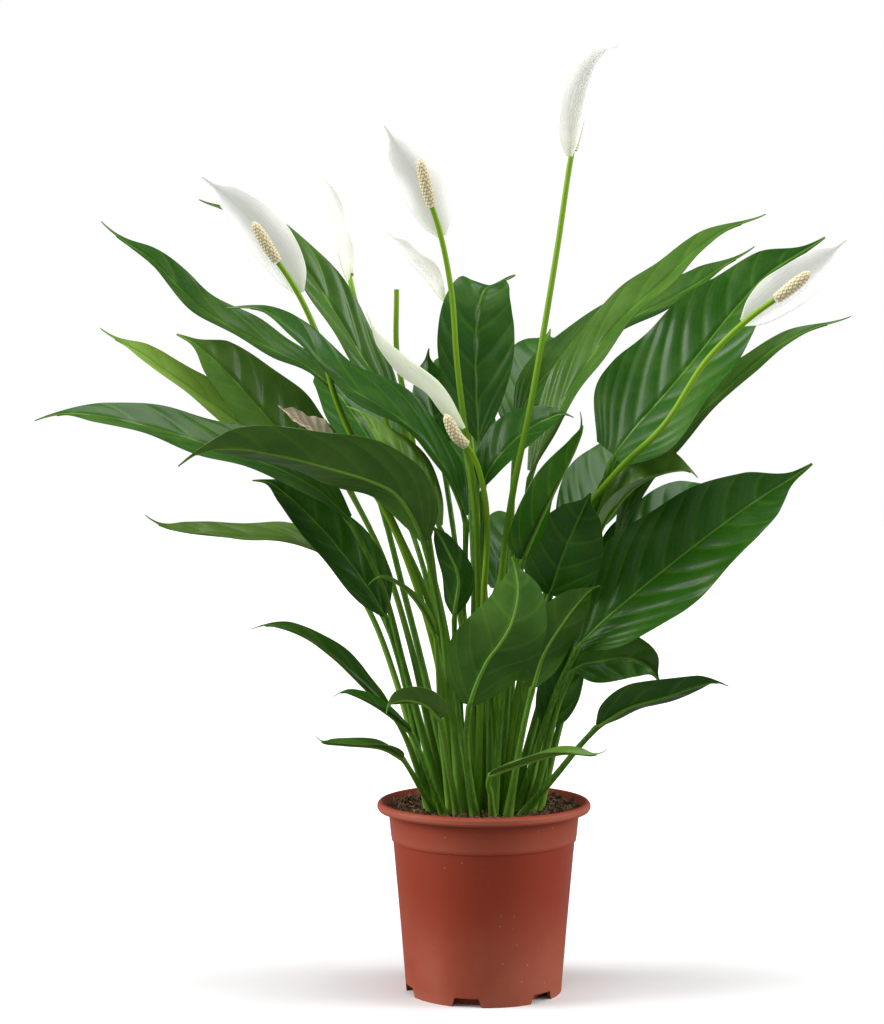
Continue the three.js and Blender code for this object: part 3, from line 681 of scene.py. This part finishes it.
def leaf_stalk(name, stem, blade, look):
    """The stalk, which thickens at the soil and below the blade, and runs on as the midrib."""
    reach = along(stem)
    stalk_at = np.linspace(0, 1, 44)
    stalk = smooth(reach, stem, stalk_at * reach[-1])
    rib_at = np.linspace(0.02, 0.93, 46)
    centre, _, up, _, _ = blade.at(rib_at * blade.length)
    rib_radius = look.stem_top * 0.66 * (1 - rib_at) ** 0.9 + look.rib_tip
    sunk = look.groove * np.clip(rib_at / 0.12, 0, 1) + rib_radius * 0.8
    rib = centre - up * sunk[:, None]
    sheath = np.exp(-((stalk_at / 0.20) ** 2))
    knee = np.exp(-(((stalk_at - 0.97) / 0.05) ** 2))
    radius = look.stem_top + (look.stem_base - look.stem_top) * (0.45 * (1 - stalk_at) + 0.55 * sheath)
    radius = radius + 0.0005 * knee
    radius *= 0.72 + 0.28 * min(1.0, blade.halves.max() / 0.022)
    line = np.concatenate([stalk[:-1], rib])
    obj, _, row = tube(line, np.concatenate([radius[:-1], rib_radius]), 12)
    pale = YOUNG.get(name, 0.0)
    share = len(stalk) / len(line)
    note(obj, "vein", np.column_stack([np.full(len(row), NO_MIDRIB), row * 3.0, row]))
    at_soil = 0.4 * np.exp(-((row / 0.04) ** 2))
    on_rib = 0.2 * (row > share)
    note(obj, "tint", np.clip(pale + 0.1 + at_soil + on_rib, 0, 1))
    close_tube(obj)
    return obj


def build_leaf(name, look):
    """One leaf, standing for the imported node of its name."""
    rings = node_rings(name)
    blade = Blade(rings[STEM_RINGS:], look.tip_curl * chance(name, 1).choice((-1.0, 0.7)))
    stem = np.array([ring.mean(axis=0) for ring in rings[:STEM_RINGS]] + [blade.centres[0]])
    surface = leaf_blade(name, blade, look)
    upper, under, stalk_look = leaf_materials(look)
    surface.data.materials.append(upper)
    surface.data.materials.append(under)
    stalk = leaf_stalk(name, stem, blade, look)
    stalk.data.materials.append(stalk_look)
    obj = join([surface, stalk], "grown_" + name)
    finish_piece(obj, [name], 50)
    return obj


class LILY_OT_leaves(bpy.types.Operator):
    """Builds every leaf with its stalk"""

    bl_idname = "peace_lily.leaves"
    bl_label = "Leaves"

    def execute(self, context):
        look = context.scene.peace_lily.leaf
        for name in sorted(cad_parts):
            if name.startswith("leaf_"):
                build_leaf(name, look)
        return {"FINISHED"}


# ---------------------------------------------------------------- flowers

# How green a hood is all over, where it isn't white.
GREENED = {"spathe_greenish": 0.8, "spathe_left_side": 0.35, "spathe_back": 0.3, "spathe_tallest": 0.1}


def hood(name, look, material):
    """A flower's hood: cupped and softly ribbed along its length."""
    blade = Blade(node_rings(name, from_lowest=False))
    rows = max(30, int(blade.length / look.row_step))
    obj, column, row = unit_grid(look.across, rows)
    v = 1 - 2 * column
    centre, side, up, half, fold = blade.at(row * blade.length)
    rng = chance(name)
    start, turn = rng.uniform(0, math.tau, 2)
    edge = np.abs(v)
    ends = np.clip(np.sin(math.pi * row), 0, 1) ** 0.5
    curl = edge * np.arctan(fold) * 1.5
    tip = np.clip((row - 0.78) / 0.16, 0, 1)
    half = half * look.width * (1 - 0.7 * ease(tip))
    out = half * v * np.cos(curl * 0.6)
    lift = half * edge * np.sin(curl)
    breadth = half / half.max()
    ribs = look.rib_height * np.cos(math.pi * 2 * look.ribs * v) * (1 - edge**3) * ends * breadth**2
    wave = 0.0016 * edge**3 * np.sin(row * 13 + np.where(v > 0, start, turn)) * ends * breadth
    if "withered" in name:
        wave = wave * 1.6 + 0.0009 * np.sin(row * 41 + v * 7) * ends
    set_points(obj, centre + side * out[:, None] + up * (lift + ribs + wave)[:, None])
    note(obj, "vein", np.column_stack([v * half * 1000, v * look.ribs + 0.5, row]))
    ends_green = 0.7 * np.exp(-((row / 0.10) ** 2)) + 5 * np.clip(row - 0.9, 0, 1)
    note(obj, "tint", np.clip(ends_green + GREENED.get(name, 0.0), 0, 1))
    modify(obj, "SOLIDIFY", thickness=look.thickness, offset=-1.0)
    obj.data.materials.append(material)
    return join([obj], "hood_" + name.removeprefix("spathe_"))


def knobs(pitch, height, length, radius):
    """Extra radius of a spadix: round knobs in staggered rows."""
    around = max(8, round(math.tau * radius / pitch))
    rows = max(4, round(length / (pitch * KNOB_ROWS)))

    def bump(turn, row):
        line = row * rows
        nearest = np.full(len(row), 9.0)
        for step in (0, 1):
            level = np.floor(line) + step
            shift = np.where(level % 2 == 0, 0.0, 0.5)
            column = (turn * around - shift) - np.round(turn * around - shift)
            nearest = np.minimum(nearest, np.hypot(column, (line - level) * KNOB_ROWS))
        return height * np.sqrt(np.clip(1 - (nearest / 0.56) ** 2, 0, 1))

    return bump


def spadix(name, centres, radii, look, material):
    """The knobbly spike in the middle of a flower."""
    places = along(centres)
    length = places[-1]
    rows = max(40, int(length / (look.knob_pitch / 7)))
    at = np.linspace(0, length, rows)
    line = smooth(places, centres, at)
    radius = np.maximum(smooth(places, radii, at) * look.slimness, 0.0006)
    bump = knobs(look.knob_pitch, look.knob_height, length, radius.max())
    taper = np.clip(radius / radius.max(), 0.15, 1)

    def shaped(turn, row):
        return bump(turn, row) * taper[np.round(row * (rows - 1)).astype(int)]

    obj, turn, row = tube(line, radius - look.knob_height * 0.5 * taper, 84, shaped)
    note(obj, "knob", bump(turn, row) / look.knob_height)
    close_tube(obj)
    obj.data.materials.append(material)
    return join([obj], "spadix_" + name)


def flower_stalk(node, look, material):
    """A flower's stalk, and the centre line and radii of the spadix at its end."""
    rings = node_rings(node)
    centres = np.array([ring.mean(axis=0) for ring in rings])
    radii = np.array([np.linalg.norm(ring - ring.mean(axis=0), axis=1).mean() for ring in rings])
    bare = node.endswith("bare")
    stem = centres if bare else centres[: -SPADIX_RINGS + 1]
    reach = along(stem)
    at = np.linspace(0, reach[-1], 90)
    share = at / reach[-1]
    thick = 0.0031 - 0.0010 * share + 0.0009 * np.exp(-((share / 0.12) ** 2))
    obj, _, row = tube(smooth(reach, stem, at), thick, 14)
    note(obj, "vein", np.column_stack([np.full(len(row), NO_MIDRIB), row * 2.0, row]))
    note(obj, "tint", np.clip(0.15 + 0.75 * row**1.5, 0, 1))
    close_tube(obj)
    obj.data.materials.append(material)
    return join([obj], node.replace("flower_stalk", "stalk")), centres, radii


class LILY_OT_flowers(bpy.types.Operator):
    """Builds every flower: its stalk, its spadix and its hood"""

    bl_idname = "peace_lily.flowers"
    bl_label = "Flowers"

    def execute(self, context):
        look = context.scene.peace_lily.flower
        leaf = context.scene.peace_lily.leaf
        stalk_look = grown_material("grown_flower_stalk", look.stalk, look.stalk_top, leaf.vein,
                                    (0.0, 0.0), 0.50, streaks=0.25)
        white = grown_material("hood_white", look.white, look.green, look.green, (0.3, 0.3), 0.42,
                               width=0.22, relief=0.3, glow=0.8, glow_colour=(1.0, 1.0, 0.8))
        dry = grown_material("hood_dry", look.withered, look.green, (0.40, 0.27, 0.17), (0.4, 0.3),
                             0.62, width=0.2, relief=0.6)
        spike = spadix_material(look)
        for node in sorted(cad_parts):
            if node.startswith("flower_stalk_"):
                flower = node.removeprefix("flower_stalk_")
                stalk, centres, radii = flower_stalk(node, look, stalk_look)
                finish_piece(stalk, [node])
                if flower != "bare":
                    spike_at = slice(-SPADIX_RINGS + 1, None)
                    piece = spadix(flower, centres[spike_at], radii[spike_at], look, spike)
                    finish_piece(piece)
            elif node.startswith("spathe_"):
                withered = node.endswith("withered")
                piece = hood(node, look, dry if withered else white)
                finish_piece(piece, [node])
        return {"FINISHED"}


# ---------------------------------------------------------------- pot and soil

def turned(profile, segments, name):
    """A closed body turned round the Z axis from a profile that starts and ends on it."""
    mesh = bpy.data.meshes.new(name)
    points = [(radius, 0.0, height) for radius, height in profile]
    mesh.from_pydata(points, [(i, i + 1) for i in range(len(points) - 1)], [])
    obj = bpy.data.objects.new(name, mesh)
    bpy.context.scene.collection.objects.link(obj)
    bpy.ops.object.select_all(action="DESELECT")
    bpy.context.view_layer.objects.active = obj
    obj.select_set(True)
    modify(obj, "SCREW", steps=segments, render_steps=segments, use_merge_vertices=True,
           merge_threshold=SEAM)
    edit(
        lambda: bpy.ops.mesh.remove_doubles(threshold=SEAM),
        lambda: bpy.ops.mesh.normals_make_consistent(inside=False),
    )
    return obj


def notch_cutter(look):
    """One block for each notch in the foot, joined."""
    blocks = []
    for i in range(look.notches):
        bpy.ops.mesh.primitive_cube_add(size=1)
        block = active()
        points = get_points(block)
        top = points[:, 2] > 0
        width = np.where(top, look.notch_top, look.notch_foot)
        x = look.foot_radius + 0.001 + points[:, 0] * 0.012
        y = points[:, 1] * width
        z = np.where(top, look.notch_height, -0.002)
        angle = look.notch_angle + math.tau * i / look.notches
        set_points(block, np.column_stack([
            x * math.cos(angle) - y * math.sin(angle), x * math.sin(angle) + y * math.cos(angle), z,
        ]))
        blocks.append(block)
    return join(blocks, "notch_cutter")


def pot_profile(look):
    """Radius and height along the pot's section, from the middle of the underside round to the floor."""
    low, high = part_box("pot")
    rim, top = (high.x - low.x) / 2, high.z
    lip = top - look.lip
    step = lip - look.collar
    ring = look.foot_radius - look.wall - 0.0012
    inner = ring - 0.007
    opening = look.collar_radius - look.wall
    slope = (look.step_radius - look.foot_radius) / (step - 0.002)
    return [
        (0, 0), (inner, 0), (inner, look.groove), (ring, look.groove), (ring, 0),
        (look.foot_radius, 0), (look.foot_radius + slope * 0.009, 0.009),
        (look.foot_radius + slope * 0.05, 0.05), (look.step_radius + 0.0004, step - 0.0032),
        (look.step_radius + 0.0016, step - 0.0026), (look.step_radius + 0.0016, step - 0.0012),
        (look.collar_radius - 0.0020, step), (look.collar_radius, lip), (rim - 0.0012, lip + 0.001),
        (rim, lip + 0.0028), (rim, top - 0.0024), (rim - 0.0016, top - 0.0004),
        (look.mouth_radius + 0.0016, top), (look.mouth_radius, top - 0.0012),
        (look.mouth_radius - 0.0016, lip + 0.0035), (opening, lip + 0.0005), (opening, step + 0.002),
        (look.step_radius - look.wall, step - 0.002),
        (look.foot_radius - look.wall, look.groove + look.floor),
        (inner - look.floor, look.groove + look.floor), (inner - look.floor, look.floor),
        (0, look.floor),
    ]


class LILY_OT_pot(bpy.types.Operator):
    """Builds the nursery pot with its lip, collar and foot notches"""

    bl_idname = "peace_lily.pot"
    bl_label = "Pot"

    def execute(self, context):
        look = context.scene.peace_lily.pot
        pot = turned(pot_profile(look), look.segments, "nursery_pot")
        cutter = notch_cutter(look)
        modify(pot, "BOOLEAN", object=cutter, operation="DIFFERENCE", solver="EXACT")
        bpy.data.objects.remove(cutter)
        modify(pot, "BEVEL", width=0.0009, segments=3, limit_method="ANGLE",
               angle_limit=math.radians(32))
        points = get_points(pot)
        radius = np.hypot(points[:, 0], points[:, 1])
        rim = radius.max()
        # Painted highlight lines along the rim of the lip and the step under the collar, and wear along the
        # foot's edge; the material turns all of them paler plastic.
        lip = np.exp(-(((radius - rim) / 0.0016) ** 2)) * (points[:, 2] > 0.14)
        foot = np.exp(-((points[:, 2] / 0.0014) ** 2)) * (radius > look.foot_radius - 0.002)
        step_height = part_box("pot")[1].z - look.lip - look.collar
        step = np.exp(-(((points[:, 2] - step_height) / 0.0012) ** 2)) * 0.8
        note(pot, "edge", np.clip(lip + foot + step, 0, 1))
        pot.data.materials.clear()
        pot.data.materials.append(plastic_material(look))
        finish_piece(pot, ["pot"], 40)
        return {"FINISHED"}


def soil_bed(look):
    """The body of the soil with an uneven top."""
    low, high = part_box("soil")
    edge = (high.x - low.x) / 2
    bpy.ops.mesh.primitive_grid_add(x_subdivisions=120, y_subdivisions=120, size=2)
    obj = active()
    points = get_points(obj)
    x, y = points[:, 0], points[:, 1]
    px = x * np.sqrt(1 - y * y / 2) * edge
    py = y * np.sqrt(1 - x * x / 2) * edge
    level = np.array([soil_height(a, b, edge, high.z) for a, b in zip(px, py)])
    set_points(obj, np.column_stack([px, py, level]))
    edit()
    step = look.step_radius - look.wall
    below_mouth = (step + 0.0032, 0.1430)
    below_step = (step - 0.0008, 0.1220)
    on_floor = (look.foot_radius - 0.0026, 0.0145)
    for reach, depth in (below_mouth, below_step, on_floor):
        bpy.ops.object.mode_set(mode="EDIT")
        bpy.ops.mesh.extrude_region_move(TRANSFORM_OT_translate={"value": (0, 0, -0.03)})
        bpy.ops.object.mode_set(mode="OBJECT")
        points = get_points(obj)
        moved = np.zeros(len(points), dtype=bool)
        obj.data.vertices.foreach_get("select", moved)
        points[moved, :2] *= reach / np.hypot(points[moved, 0], points[moved, 1]).max()
        points[moved, 2] = depth
        set_points(obj, points)
    edit(lambda: bpy.ops.mesh.normals_make_consistent(inside=False))
    return obj, edge


def soil_height(x, y, edge, top):
    """Height of the soil's top at a place: it is banked up against the wall of the pot."""
    radius = math.hypot(x, y)
    bank = min(max((radius - 0.048) / 0.014, 0), 1)
    rough = (0.0030 * noise.noise(Vector((x * 60, y * 60, 1.7)))
             + 0.0022 * noise.noise(Vector((x * 210, y * 210, 4.1))))
    fade = min(max((edge - radius) / 0.003, 0), 1)
    return top - 0.0037 + 0.0030 * ease(bank) + rough * fade


def soil_crumbs(look, edge, top):
    """Loose crumbs that lie on the soil."""
    bpy.ops.mesh.primitive_ico_sphere_add(subdivisions=2, radius=1)
    seed = active()
    points = get_points(seed)
    faces = [tuple(face.vertices) for face in seed.data.polygons]
    bpy.data.objects.remove(seed)
    rng = np.random.default_rng(41)
    all_points, all_faces = [], []
    for i in range(look.crumbs):
        angle, reach = rng.uniform(0, math.tau), edge * 0.965 * math.sqrt(rng.uniform(0.04, 1))
        x, y = reach * math.cos(angle), reach * math.sin(angle)
        size = 0.0006 + 0.0026 * rng.uniform() ** 2.6
        stretch = rng.uniform(0.55, 1.3, 3)
        lumps = 1 + 0.28 * rng.standard_normal((len(points), 1))
        spin = np.linalg.qr(rng.standard_normal((3, 3)))[0]
        crumb = (points * lumps * stretch) @ spin * size
        lift = soil_height(x, y, edge, top) + size * 0.25
        all_points.append(crumb + (x, y, lift))
        all_faces.extend(tuple(v + i * len(points) for v in face) for face in faces)
    mesh = bpy.data.meshes.new("soil_crumbs")
    mesh.from_pydata(np.concatenate(all_points), [], all_faces)
    obj = bpy.data.objects.new("soil_crumbs", mesh)
    bpy.context.scene.collection.objects.link(obj)
    return obj


def soil_fibres(look, edge, top):
    """Fine coir and root threads that curl out of the soil."""
    rng = np.random.default_rng(17)
    threads = []
    for _ in range(look.fibres):
        angle, reach = rng.uniform(0, math.tau), edge * 0.93 * math.sqrt(rng.uniform(0.12, 1))
        x, y = reach * math.cos(angle), reach * math.sin(angle)
        heading, bend = rng.uniform(0, math.tau), rng.uniform(-2.4, 2.4)
        length, arch = rng.uniform(0.006, 0.021), rng.uniform(0.0006, 0.0048)
        line = []
        for t in np.linspace(0, 1, 9):
            turn = heading + bend * t
            x += math.cos(turn) * length / 8
            y += math.sin(turn) * length / 8
            limit = edge * 0.97 / max(math.hypot(x, y), edge * 0.97)
            x, y = x * limit, y * limit
            line.append((x, y, soil_height(x, y, edge, top) + arch * math.sin(math.pi * t) + 0.0003))
        obj, _, _ = tube(np.array(line), np.full(9, rng.uniform(0.00012, 0.00032)), 5)
        close_tube(obj)
        threads.append(obj)
    return join(threads, "soil_fibres")


class LILY_OT_soil(bpy.types.Operator):
    """Builds the soil with its crumbs and fibres"""

    bl_idname = "peace_lily.soil"
    bl_label = "Soil"

    def execute(self, context):
        look = context.scene.peace_lily.pot
        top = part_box("soil")[1].z
        bed, edge = soil_bed(look)
        bed.name = bed.data.name = "soil_bed"
        peat = soil_material("peat", look.soil_dark, look.soil_pale, 0.5)
        coir = soil_material("coir", look.soil_pale, (0.34, 0.22, 0.12), 0.6)
        bed.data.materials.append(peat)
        finish_piece(bed, ["soil"])
        crumbs = soil_crumbs(look, edge, top)
        crumbs.data.materials.append(peat)
        finish_piece(crumbs, angle=30)
        fibres = soil_fibres(look, edge, top)
        fibres.data.materials.append(coir)
        finish_piece(fibres)
        return {"FINISHED"}


# ---------------------------------------------------------------- stage

def softbox(name, place, strength, spread):
    """A soft lamp so far away that it lights the whole floor evenly."""
    bpy.ops.object.light_add(type="SUN", location=place)
    lamp = active()
    lamp.name = name
    lamp.data.energy = strength
    lamp.data.angle = math.radians(spread)
    lamp.rotation_euler = (-Vector(place)).to_track_quat("-Z", "Y").to_euler()


class LILY_OT_stage(bpy.types.Operator):
    """Makes the pale floor, the soft studio light and the camera"""

    bl_idname = "peace_lily.stage"
    bl_label = "Stage"

    def execute(self, context):
        look = context.scene.peace_lily.studio
        bpy.ops.mesh.primitive_plane_add(size=look.floor_size)
        floor = active()
        floor.name = "studio_floor"
        material, tree, shader = new_material("studio_floor")
        seen = tree.add("LightPath").outputs["Is Camera Ray"]
        colour = tree.mix(seen, [look.floor_fill] * 3, [look.floor_seen] * 3)
        tree.tree.links.new(colour, shader.inputs["Base Color"])
        shader.inputs["Roughness"].default_value = 0.75
        shader.inputs["Specular IOR Level"].default_value = 0.1
        floor.data.materials.append(material)
        world = bpy.data.worlds.new("studio")
        world.use_nodes = True
        sky = Tree(world.node_tree)
        backdrop = sky.add("LightPath").outputs["Is Camera Ray"]
        background = world.node_tree.nodes["Background"]
        background.inputs["Color"].default_value = (1.0, 1.0, 1.0, 1.0)
        strength = sky.ramp(backdrop, 0.0, 1.0, look.backdrop_fill, 1.0)
        world.node_tree.links.new(strength, background.inputs["Strength"])
        context.scene.world = world
        softbox("left_softbox", (-2.0, -0.25, 0.85), look.left, 34)
        softbox("right_softbox", (2.0, -0.15, 0.75), look.right, 34)
        softbox("top_softbox", (0.1, -0.15, 2.0), look.top, 45)
        softbox("front_fill", (0.4, -2.0, 0.8), look.front, 60)
        bpy.ops.object.camera_add(location=look.camera)
        camera = active()
        camera.rotation_euler = (math.pi / 2 - look.pitch, 0, 0)
        camera.data.sensor_width = 36
        camera.data.lens = look.lens
        context.scene.camera = camera
        context.scene.view_settings.view_transform = "Standard"
        return {"FINISHED"}


# ---------------------------------------------------------------- panel and registration

class LILY_PT_panel(bpy.types.Panel):
    """Buttons that build the plant piece by piece"""

    bl_idname = "LILY_PT_panel"
    bl_label = "Peace lily"
    bl_space_type = "VIEW_3D"
    bl_region_type = "UI"
    bl_category = "Peace lily"

    def draw(self, context):
        for operator in BUILDERS:
            self.layout.operator(operator.bl_idname)
        settings = context.scene.peace_lily
        for look in (settings.leaf, settings.flower, settings.pot, settings.studio):
            box = self.layout.box()
            for key in look.bl_rna.properties.keys():
                if key not in ("rna_type", "name"):
                    box.prop(look, key)


SETTINGS = (LeafLook, FlowerLook, PotLook, StudioLook, PeaceLilySettings)
BUILDERS = (LILY_OT_pot, LILY_OT_soil, LILY_OT_leaves, LILY_OT_flowers, LILY_OT_stage)


def register():
    """Adds the settings, the operators and the panel to Blender."""
    for item in (*SETTINGS, *BUILDERS, LILY_PT_panel):
        bpy.utils.register_class(item)
    bpy.types.Scene.peace_lily = bpy.props.PointerProperty(type=PeaceLilySettings)


def unregister():
    """Takes them out again."""
    del bpy.types.Scene.peace_lily
    for item in reversed((*SETTINGS, *BUILDERS, LILY_PT_panel)):
        bpy.utils.unregister_class(item)


def main():
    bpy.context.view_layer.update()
    register()
    bpy.ops.peace_lily.pot()
    bpy.ops.peace_lily.soil()
    bpy.ops.peace_lily.leaves()
    bpy.ops.peace_lily.flowers()
    bpy.ops.peace_lily.stage()


if __name__ == "__main__":
    main()
